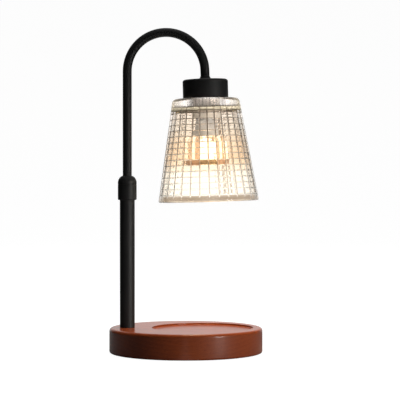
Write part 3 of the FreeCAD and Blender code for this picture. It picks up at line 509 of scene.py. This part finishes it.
def sleeving(name, a, b, pitch=0.0011, rough=(0.55, 0.7)):
    """Braided sleeve over a lead: two crossed sets of fine ribs."""
    m = Mat(name)
    waves = [
        m.node(
            "ShaderNodeTexWave",
            {"Vector": m.at((1.0, 1.0, s)), "Scale": 2 * math.pi / 20 / pitch, "Distortion": 0.6},
            wave_type="BANDS",
            bands_direction="DIAGONAL",
        ).outputs["Fac"]
        for s in (1.0, -1.0)
    ]
    weave = m.calc("MULTIPLY", *waves)
    m.set(
        Base_Color=m.blend(m.span(weave, 0.0, 0.8, 0.0, 1.0), a, b),
        Roughness=m.span(m.noise(600.0), 0.3, 0.7, *rough),
        Normal=m.bump(weave, 0.00015, 0.6),
    )
    return m.mat


FINISH = {
    "lacquered_wood": lacquered_wood(),
    "black_powder_coat": black_powder_coat(),
    "black_sheet": painted_sheet(),
    "grey_rubber": rubber("grey_rubber", (0.030, 0.030, 0.033), (0.055, 0.055, 0.060), pocks=520.0),
    "zinc_steel": metal("zinc_steel", (0.60, 0.61, 0.62), (0.72, 0.72, 0.71), wear=(0.50, 0.50, 0.47)),
    "cast_weight": cast_weight(),
    "black_nylon": plastic("black_nylon", (0.018, 0.018, 0.019), (0.030, 0.030, 0.031)),
    "white_nylon": plastic("white_nylon", (0.74, 0.72, 0.66), (0.80, 0.79, 0.74)),
    "brass_contacts": metal(
        "brass_contacts", (0.72, 0.52, 0.22), (0.80, 0.62, 0.32), wear=(0.50, 0.34, 0.15)
    ),
    "nickel_pins": metal("nickel_pins", (0.66, 0.64, 0.60), (0.76, 0.74, 0.70), (0.16, 0.28)),
    "lead_sheath": rubber("lead_sheath", (0.020, 0.020, 0.021), (0.034, 0.034, 0.035), 1300.0, 0.0, (0.5, 0.66)),
    "sleeved_wire": sleeving("sleeved_wire", (0.62, 0.58, 0.50), (0.84, 0.81, 0.73)),
    "ceramic": ceramic("ceramic", (0.80, 0.80, 0.79), (0.87, 0.87, 0.85), (0.56, 0.55, 0.52)),
    "threaded_phenolic": plastic("threaded_phenolic", (0.74, 0.68, 0.62), (0.82, 0.77, 0.71), (0.30, 0.42)),
    "gasket_rubber": rubber("gasket_rubber", (0.36, 0.30, 0.26), (0.48, 0.42, 0.37)),
    "bulb_glass": bulb_glass(),
    "bulb_front": bulb_front(),
    "capsule_glass": capsule_glass(),
    "ribbed_glass": ribbed_glass(),
    "bulb_ceramic": ceramic("bulb_ceramic", (0.68, 0.71, 0.76), (0.78, 0.80, 0.84), (0.44, 0.46, 0.50)),
}
OWN = {"bulb_neck": "bulb_ceramic"}
for part in frame["record"]["subparts"]:
    name = part["node"]
    slots = NODES[name].data.materials
    slots.clear()
    slots.append(FINISH[OWN.get(name, part["material_slot"])])


# ---------------------------------------------------------------- mesh helpers
def mesh_object(name, verts, faces, mats, index=None, smooth=True):
    me = bpy.data.meshes.new(name)
    me.from_pydata(verts, [], faces)
    for mat in mats:
        me.materials.append(mat)
    if index is not None:
        me.polygons.foreach_set("material_index", index)
    me.polygons.foreach_set("use_smooth", [bool(smooth)] * len(me.polygons))
    me.update()
    obj = bpy.data.objects.new(name, me)
    bpy.context.scene.collection.objects.link(obj)
    return obj


def lathe(name, rows, columns, point, mats, kind, smooth=True):
    """Closed ring of rows by columns; point(row, column) gives (x, y, z) and
    kind(row, column) the material of the face after it."""
    verts = [point(i, j) for i in range(rows) for j in range(columns)]
    faces, index = [], []
    for i in range(rows):
        k = (i + 1) % rows
        for j in range(columns):
            n = (j + 1) % columns
            faces.append((i * columns + j, i * columns + n, k * columns + n, k * columns + j))
            index.append(kind(i, j))
    return mesh_object(name, verts, faces, mats, index, smooth)


def arc(cx, cy, r, a, b, n, ends=True):
    """Points on an arc from angle a to b, in degrees."""
    steps = range(n + 1) if ends else range(1, n)
    return [
        (cx + r * math.cos(math.radians(a + (b - a) * i / n)), cy + r * math.sin(math.radians(a + (b - a) * i / n)))
        for i in steps
    ]


def bowed(p, q, radius, n):
    """Points after p on the arc to q that bulges outwards, away from the axis."""
    (r0, z0), (r1, z1) = p, q
    dr, dz = r1 - r0, z1 - z0
    half = math.hypot(dr, dz) / 2
    rise = math.sqrt(radius**2 - half**2)
    side = -1.0 if dz > 0 else 1.0
    cr = (r0 + r1) / 2 + side * rise * dz / (2 * half)
    cz = (z0 + z1) / 2 - side * rise * dr / (2 * half)
    a = math.degrees(math.atan2(z0 - cz, r0 - cr))
    b = math.degrees(math.atan2(z1 - cz, r1 - cr))
    return arc(cr, cz, radius, a, b, n)[1:]


# ---------------------------------------------------------------- glass shade
GROOVES = 32
STEP = 2 * math.pi / GROOVES
PHASE = math.radians(-89)
TOP, LOW, RB, RT, WALL = 102.5, 1.8, 49.7, 32.6, 3.8
CEIL, HOLE = 92.9, 14.6
SLOPE = (RB - RT) / TOP
LEAN = math.atan(SLOPE)
NR, NZ = math.cos(LEAN), math.sin(LEAN)
UPRIGHT, CROSS = 0.56, 0.34  # half widths of the cuts
DEEP_U, DEEP_C, PILLOW = 0.52, 0.42, 0.07
LINES = [87.6 - 5.63 * k for k in range(15)]


def cone(z, inner=False):
    return RB - SLOPE * z - (WALL if inner else 0.0)


def shade_rows():
    """Section rows, from the inside of the rim outwards and round: each is
    (r, z, normal r, normal z, depth of the cross cut, weight of the upright
    cuts, place in the cell from -1 to 1, material of the face after it)."""
    out = []

    def add(r, z, nr, nz, cut=0.0, upright=0.0, place=None, kind=0):
        out.append((r, z, nr, nz, cut, upright, place, kind))

    fillet = 1.2
    lip = LOW + fillet
    low = cone(lip) - fillet / NR
    for r, z in arc(low, lip, fillet, -90, math.degrees(LEAN), 6):
        a = math.atan2(z - lip, r - low)
        add(r, z, math.cos(a), math.sin(a), upright=0.16 * max(0.0, min(1.0, (math.degrees(a) + 90) / 60)))
    levels = [(4.0, 0, 0.16, None, 0), (5.4, 0, 0.16, None, 0), (6.8, 0, 0.16, None, 0)]
    c = (LINES[0] - LINES[1]) * NR / NR
    w = CROSS * NR
    for k in reversed(range(len(LINES))):
        z = LINES[k]
        if k == len(LINES) - 1:
            levels += [(z - 1.7 * w, 0.0, 1, None, 0), (z - w, 0.12, 1, None, 2), (z - 0.5 * w, 0.72, 1, None, 2)]
        levels += [(z, 1.0, 1, 1.0, 2), (z + 0.5 * w, 0.72, 1, 1.0, 2), (z + w, 0.12, 1, 0.98, 0)]
        if k:
            levels += [
                (z + 1.7 * w, 0, 1, 1 - 3.4 * w / c, 0),
                (z + 0.31 * c, 0, 1, 0.38, 0),
                (z + 0.5 * c, 0, 1, 0.0, 0),
                (z + 0.69 * c, 0, 1, 0.38, 0),
                (z + c - 1.7 * w, 0, 1, 1 - 3.4 * w / c, 0),
                (z + c - w, 0.12, 1, 0.98, 2),
                (z + c - 0.5 * w, 0.72, 1, 1.0, 2),
            ]
        else:
            levels += [(z + 1.7 * w, 0, 1, None, 0), (90.3, 0, 0.6, None, 0), (93.3, 0, 0.28, None, 4), (96.3, 0, 0.2, None, 4)]
    for z, cut, upright, place, kind in levels:
        add(cone(z), z, NR, NZ, cut, upright, place, kind)
    bend = 4.5
    mid = TOP - bend
    rs = cone(mid) - bend / NR
    for r, z in arc(rs, mid, bend, math.degrees(LEAN), 90, 9):
        a = math.atan2(z - mid, r - rs)
        add(r, z, math.cos(a), math.sin(a), upright=0.16, kind=4)
    for r, weight in ((27.0, 0.12), (25.0, 0.08), (23.0, 0.04), (21.0, 0.0), (18.0, 0.0), (15.2, 0.0), (14.75, 0.0)):
        add(r, TOP, 0.0, 1.0, upright=weight, kind=4)
    # hole and ceiling rows of kind 3 carry the dark painted shade band
    for z in (TOP - 0.15, TOP - 0.6, (TOP + CEIL) / 2, CEIL + 0.9, CEIL + 0.7):
        add(HOLE, z, -1.0, 0.0, kind=3 if z == CEIL + 0.7 else 0)
    for r in (15.3, 15.5, 19.0, 23.0, 26.6):
        add(r, CEIL, 0.0, -1.0, kind=3)
    inner = 3.0
    ri = cone(CEIL - inner, True) - inner / NR
    for k, (r, z) in enumerate(arc(ri, CEIL - inner, inner, 90, math.degrees(LEAN), 7)):
        # the inner corner's rows carry the dark painted shade lines and the paler painted bead between them
        add(r, z, -(r - ri) / inner, -(z - CEIL + inner) / inner, kind=3 if k in (0, 1, 7) else 5)
    for z in (89.6, 84.0, 76.0, 67.0, 58.0, 49.0, 40.0, 31.0, 22.0, 13.0, 7.0, 4.2):
        add(cone(z, True), z, -NR, -NZ)
    low = cone(lip, True) + fillet / NR
    for r, z in arc(low, lip, fillet, 180 + math.degrees(LEAN), 270, 5):
        add(r, z, (r - low) / fillet, (z - lip) / fillet)
    return out


def shade_columns():
    """Column offsets in one cell: (millimetres from the cut, fraction of the
    cell), depth of the upright cut, place in the cell, material after it."""
    w = UPRIGHT
    return [
        (0.0, 0.0, 1.0, 1.0, 1),
        (0.5 * w, 0.0, 0.74, 1.0, 1),
        (w, 0.0, 0.12, 0.98, 0),
        (1.7 * w, 0.0, 0.0, 0.84, 0),
        (0.0, 0.32, 0.0, 0.36, 0),
        (0.0, 0.5, 0.0, 0.0, 0),
        (0.0, 0.68, 0.0, 0.36, 0),
        (-1.7 * w, 1.0, 0.0, 0.84, 0),
        (-w, 1.0, 0.12, 0.98, 1),
        (-0.5 * w, 1.0, 0.74, 1.0, 1),
    ]


def make_shade():
    rows, cols = shade_rows(), shade_columns()
    count = len(cols) * GROOVES

    def point(i, j):
        r, z, nr, nz, cut, upright, place, _ = rows[i]
        mm, share, deep, across, _ = cols[j % len(cols)]
        cell = r * STEP
        mm *= min(1.0, 0.28 * cell / (1.7 * UPRIGHT))
        a = PHASE + (j // len(cols)) * STEP + share * STEP + mm / r
        depth = max(DEEP_U * deep * upright, DEEP_C * cut)
        if upright:
            along = 0.0 if place is None else place
            depth += PILLOW * min(1.0, upright) * (1 - (1 - across**2) * (1 - along**2))
        r, z = r - nr * depth, z - nz * depth
        return (r * math.cos(a) * MM, r * math.sin(a) * MM, z * MM)

    def kind(i, j):
        if rows[i][5] >= 0.5 and cols[j % len(cols)][4]:
            return 1
        # dark stripes on the hole wall beside each cut: painted shade
        if rows[i][0] == HOLE and rows[i][7] == 0 and j % len(cols) in (0, len(cols) - 1):
            return 6
        return rows[i][7]

    obj = lathe(
        "pressed_glass_shade",
        len(rows),
        count,
        point,
        [
            FINISH["ribbed_glass"],
            # the dark colours of the cuts are painted shade
            cut_glass("upright_cuts", (0.042, 0.030, 0.021), (0.125, 0.095, 0.070), 0.24, 0.38),
            cut_glass("cross_cuts", (0.13, 0.095, 0.066), (0.27, 0.21, 0.155), 0.24, 0.38),
            # opaque bands below: painted shade lines at the inner top, with a paler painted bead
            painted_band("painted_shade_edge", (0.13, 0.11, 0.075), (0.24, 0.205, 0.14)),
            satin_glass("satin_shoulder", (0.93, 0.85, 0.80), (0.97, 0.92, 0.87), (0.20, 0.28)),
            painted_band("seat_bead", (0.38, 0.345, 0.255), (0.48, 0.44, 0.335)),
            painted_band("painted_shade_ribs", (0.045, 0.034, 0.026), (0.110, 0.084, 0.064)),
        ],
        kind,
    )
    obj.matrix_world = HEAD
    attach(obj, "arm")
    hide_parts("glass_shade")
    return obj


make_shade()


# ---------------------------------------------------------------- bulb
RIBS = 9


def make_reflector():
    """Pressed reflector: flat facets between bright upright ribs, round rim,
    closed at the neck."""
    rows = [(19.8, 39.4, 0, 2), (19.8, 36.8, 0, 2), (20.1, 36.5, 0, 2), (20.7, 36.5, 0, 2), (21.0, 36.8, 0, 2), (21.0, 40.2, 0, 2)]
    side = [(20.55, 41.0), (20.3, 45.0), (20.0, 50.0), (19.7, 55.0), (19.4, 59.4)]
    side += bowed((19.4, 59.4), (12.8, 66.6), 8.0, 6)
    rows += [(r, z, 1, 0) for r, z in side]
    rows += [(12.3, 66.6, 0, 0), (0.4, 66.6, 0, 0), (0.4, 64.6, 0, 0), (10.8, 64.6, 0, 0)]
    rows += [(r, z, 0, 0) for r, z in bowed((10.8, 64.6), (18.0, 59.0), 6.6, 5)]
    rows += [(18.3, 54.0, 0, 0), (18.6, 48.0, 0, 0), (19.0, 41.4, 0, 0)]
    turn = 360.0 / RIBS
    cols = [(0.0, 0.38), (2.0, 0.26), (3.6, 0.0), (7.0, 0.0), (12.0, 0.0), (20.0, 0.0)]
    cols += [(turn - a, up) for a, up in reversed(cols[1:-1])]
    count = len(cols) * RIBS

    def point(i, j):
        r, z, shaped, _ = rows[i]
        a, up = cols[j % len(cols)]
        if shaped:
            half = turn / 4
            off = abs((a % (turn / 2)) - half)
            r *= math.cos(math.radians(half)) / math.cos(math.radians(off)) * 0.25 + 0.75
            r += up * min(1.0, (66.6 - z) / 3.0)
        a = math.radians(a + turn * (j // len(cols)) - 90)
        return (r * math.cos(a) * MM, r * math.sin(a) * MM, z * MM)

    def kind(i, j):
        a = cols[j % len(cols)][0]
        if rows[i][2] and rows[(i + 1) % len(rows)][2] and (a < 3.6 or a > turn - 3.7):
            return 1
        return rows[i][3]

    obj = lathe(
        "faceted_reflector",
        len(rows),
        count,
        point,
        [FINISH["bulb_glass"], bulb_rib(), bulb_rim()],
        kind,
        False,
    )
    for p in obj.data.polygons:
        i = p.index // count
        p.use_smooth = not (rows[i][2] and rows[(i + 1) % len(rows)][2])
    obj.matrix_world = HEAD
    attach(obj, "bulb")
    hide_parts("bulb_reflector")


make_reflector()


# ---------------------------------------------------------------- spare lead
def make_spare_lead():
    """Waves of spare lead in the pole, drawn at rest as one fixed mesh. On the real lamp they close up and open out
    as the arm slides."""
    low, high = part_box("slack_lead")
    axis, z0, z1 = -57.4, low[2] / MM, high[2] / MM
    radius, rows, columns = 1.6, 111, 20
    swing = min(high[0] / MM - axis, axis - low[0] / MM) - radius - 0.02

    def ease(z, a, b):
        t = max(0.0, min(1.0, (z - a) / (b - a)))
        return t * t * (3 - 2 * t)

    def across(z):
        return swing * math.sin(2 * math.pi * (z - 40.4) / 20.15) * ease(z, 36.0, 44.0) * ease(z, 86.5, 77.0)

    verts, faces = [], []
    for i in range(rows):
        z = z0 + (z1 - z0) * i / (rows - 1)
        lean = (across(z + 0.01) - across(z - 0.01)) / 0.02 if 0 < i < rows - 1 else 0.0
        size = math.hypot(1.0, lean)
        for j in range(columns):
            a = 2 * math.pi * j / columns
            side = radius * math.cos(a) / size
            verts.append(((axis + across(z) + side) * MM, radius * math.sin(a) * MM, (z - side * lean) * MM))
    for i in range(rows - 1):
        for j in range(columns):
            n = (j + 1) % columns
            faces.append((i * columns + j, i * columns + n, (i + 1) * columns + n, (i + 1) * columns + j))
    faces.append(tuple(reversed(range(columns))))
    faces.append(tuple(range((rows - 1) * columns, rows * columns)))
    obj = mesh_object("spare_lead", verts, faces, [FINISH["lead_sheath"]])
    for p in obj.data.polygons:
        p.use_smooth = len(p.vertices) == 4
    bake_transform(obj)
    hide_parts("slack_lead")


make_spare_lead()


# ---------------------------------------------------------------- studio
def lit(name, kind, at, target, energy, colour=(1, 1, 1), **settings):
    data = bpy.data.lights.new(name, kind)
    data.energy = energy
    data.color = colour
    for key, value in settings.items():
        setattr(data, key, value)
    obj = bpy.data.objects.new(name, data)
    bpy.context.scene.collection.objects.link(obj)
    obj.location = at
    obj.rotation_euler = (Vector(target) - Vector(at)).to_track_quat("-Z", "Y").to_euler()
    return obj


FLOOR_GLOW, FLOOR_SHEEN = 0.965, 0.75
WORLD, WORLD_GLOW, WORLD_SHEEN = 0.06, 0.965, 0.75


def seen_glow(m, place, seen, sheen):
    """The studio is lit up for what looks at it and through glass at it. For
    reflections only the middle of its rear wall is, as a white card would be."""
    path = m.node("ShaderNodeLightPath").outputs
    x, y, z = m.node("ShaderNodeSeparateXYZ", {0: place}).outputs
    look = m.calc("MAXIMUM", path["Is Camera Ray"], path["Is Transmission Ray"])
    card = m.span(m.calc("DIVIDE", m.calc("ABSOLUTE", x), m.calc("MAXIMUM", y, 0.02)), 0.30, 0.75, sheen, 0.0)
    return m.calc("ADD", m.calc("MULTIPLY", look, seen), m.calc("MULTIPLY", path["Is Glossy Ray"], card))


def backdrop():
    """Round pale floor that curves up into a low wall on every side."""
    rows = [(0.0, 0.0), (0.3, 0.0), (1.0, 0.0), (2.4, 0.0)]
    rows += [(2.4 + 0.9 * math.sin(math.radians(a)), 0.9 - 0.9 * math.cos(math.radians(a))) for a in range(6, 91, 6)]
    rows += [(3.3, 1.6)]
    n = 96
    verts, faces = [(0.0, 0.0, 0.0)], []
    for r, z in rows[1:]:
        verts += [(r * math.cos(2 * math.pi * j / n), r * math.sin(2 * math.pi * j / n), z) for j in range(n)]
    for j in range(n):
        faces.append((0, 1 + j, 1 + (j + 1) % n))
    for i in range(len(rows) - 2):
        a, b = 1 + i * n, 1 + (i + 1) * n
        faces += [(a + j, b + j, b + (j + 1) % n, a + (j + 1) % n) for j in range(n)]
    m = Mat("studio_floor")
    m.set(
        Base_Color=m.blend(m.noise(3.0), (0.14, 0.14, 0.14), (0.15, 0.15, 0.15)),
        Roughness=0.9,
        Specular_IOR_Level=0.1,
        Emission_Color=(1.0, 1.0, 1.0),
        Emission_Strength=seen_glow(m, m.at(), FLOOR_GLOW, FLOOR_SHEEN),
    )
    floor = mesh_object("studio_floor", verts, faces, [m.mat])
    floor.location.z = -0.00002


backdrop()
world = bpy.data.worlds.new("studio")
bpy.context.scene.world = world
world.use_nodes = True
sky = Mat.__new__(Mat)
sky.tree = world.node_tree
way = sky.node("ShaderNodeTexCoord").outputs["Generated"]
back = world.node_tree.nodes["Background"]
back.inputs["Color"].default_value = (1.0, 1.0, 1.0, 1.0)
world.node_tree.links.new(
    sky.calc("ADD", seen_glow(sky, way, WORLD_GLOW, WORLD_SHEEN), WORLD), back.inputs["Strength"]
)

key = lit("key", "AREA", (0.60, -0.50, 0.08), (0.0, 0.0, 0.05), 0.50, (1.0, 0.985, 0.955), shape="RECTANGLE", size=0.18, size_y=0.30)
key.data.spread = math.radians(52)
key.visible_camera = False
top = lit("top", "AREA", (0.1, 0.2, 1.5), (0.0, 0.0, 0.0), 33.0, shape="RECTANGLE", size=0.8, size_y=0.8)
top.visible_camera = False
top.visible_glossy = False
glow = lit(
    "bulb_glow",
    "SPOT",
    HEAD @ Vector((0, 0, 0.034)),
    HEAD @ Vector((0, 0, -0.2)),
    0.9,
    (1.0, 0.74, 0.46),
    spot_size=math.radians(84),
    spot_blend=0.8,
    shadow_soft_size=0.018,
)
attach(glow, "bulb")

# ---------------------------------------------------------------- camera
cam = bpy.data.cameras.new("camera")
cam.lens = 143.4
cam.sensor_width = 36.0
cam.clip_start, cam.clip_end = 0.05, 20.0
camera = bpy.data.objects.new("camera", cam)
bpy.context.scene.collection.objects.link(camera)
camera.location = (0.0138, -1.560, 0.171)
camera.rotation_euler = (math.radians(90 - 0.77), 0.0, 0.0)
bpy.context.scene.camera = camera

scene = bpy.context.scene
scene.view_settings.view_transform = "Standard"
scene.view_settings.look = "None"
scene.cycles.use_denoising = True
scene.cycles.max_bounces = 14
scene.cycles.transmission_bounces = 14
scene.cycles.transparent_max_bounces = 14
scene.cycles.glossy_bounces = 6
scene.cycles.caustics_refractive = True
scene.cycles.caustics_reflective = False
